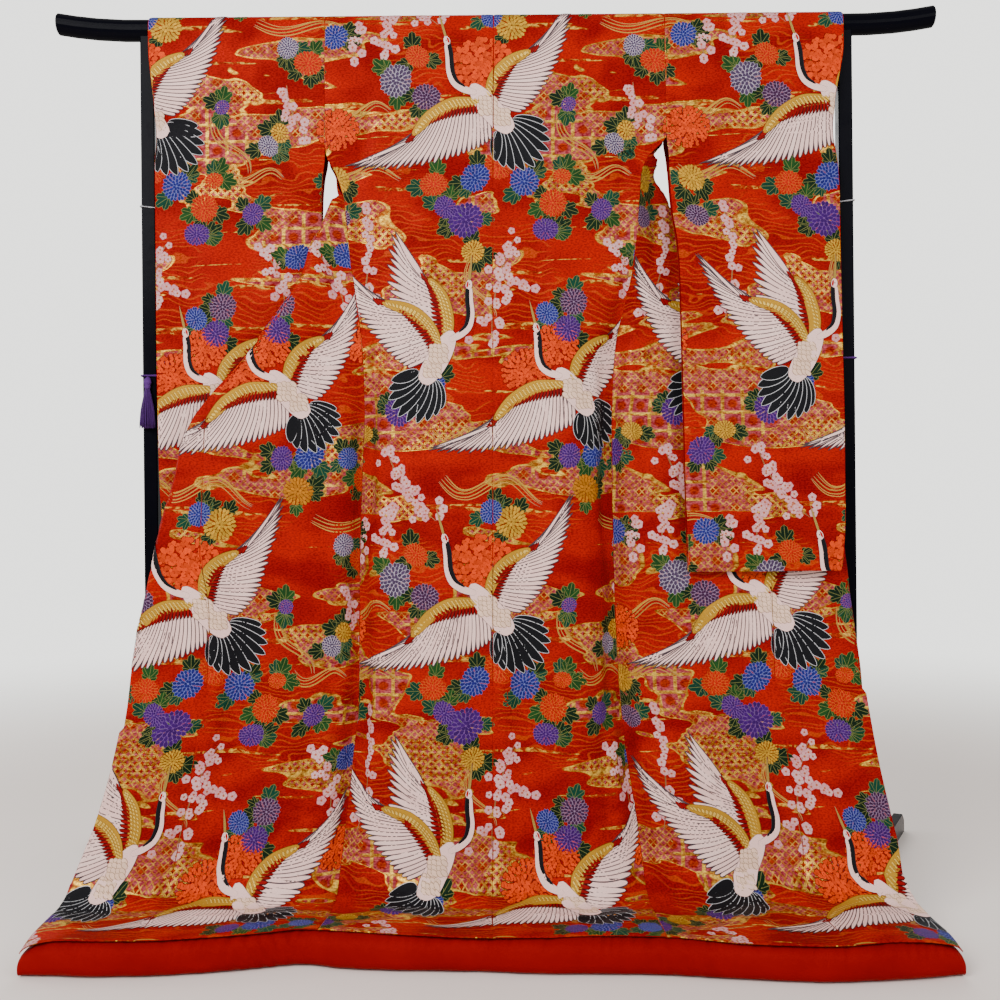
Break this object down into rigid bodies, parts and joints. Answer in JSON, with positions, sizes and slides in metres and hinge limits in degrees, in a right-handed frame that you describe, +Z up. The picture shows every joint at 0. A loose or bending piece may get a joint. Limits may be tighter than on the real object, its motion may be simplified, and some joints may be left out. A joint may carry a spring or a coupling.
{
  "type": "uchikake wedding kimono on a kimono stand",
  "caption": "Padded wedding over-kimono hung by its sleeves on a lacquered stand, back to the front, fronts turned outward and padded hem spread on the floor.",
  "frame": {"origin": "middle of the whole footprint, at the floor", "axes": "+Z up, +X toward the garment's right as its back is looked at, +Y away from the viewer of the back, so the garment's back faces -Y"},
  "size_m": [1.8684, 0.9115, 1.7036],
  "materials": {
    "brocade": "red brocade woven with gold, lined in red",
    "hem_silk": "plain deep red silk over padding",
    "lacquer": "black gloss lacquer",
    "silver_cord": "silvery white cord",
    "purple_silk": "purple silk cord"
  },
  "bodies": {
    "root": {"body_left": "brocade", "body_right": "brocade", "okumi_left": "brocade", "okumi_right": "brocade", "sleeve_left": "brocade", "sleeve_right": "brocade", "collar": "brocade", "fuki": "hem_silk", "bar": "lacquer", "post_left": "lacquer", "post_right": "lacquer", "rail": "lacquer", "foot_left": "lacquer", "foot_right": "lacquer", "tie_left": "silver_cord", "tie_right": "silver_cord", "cord_left": "purple_silk", "cord_right": "purple_silk", "tassel": "purple_silk"}
  },
  "joints": []
}
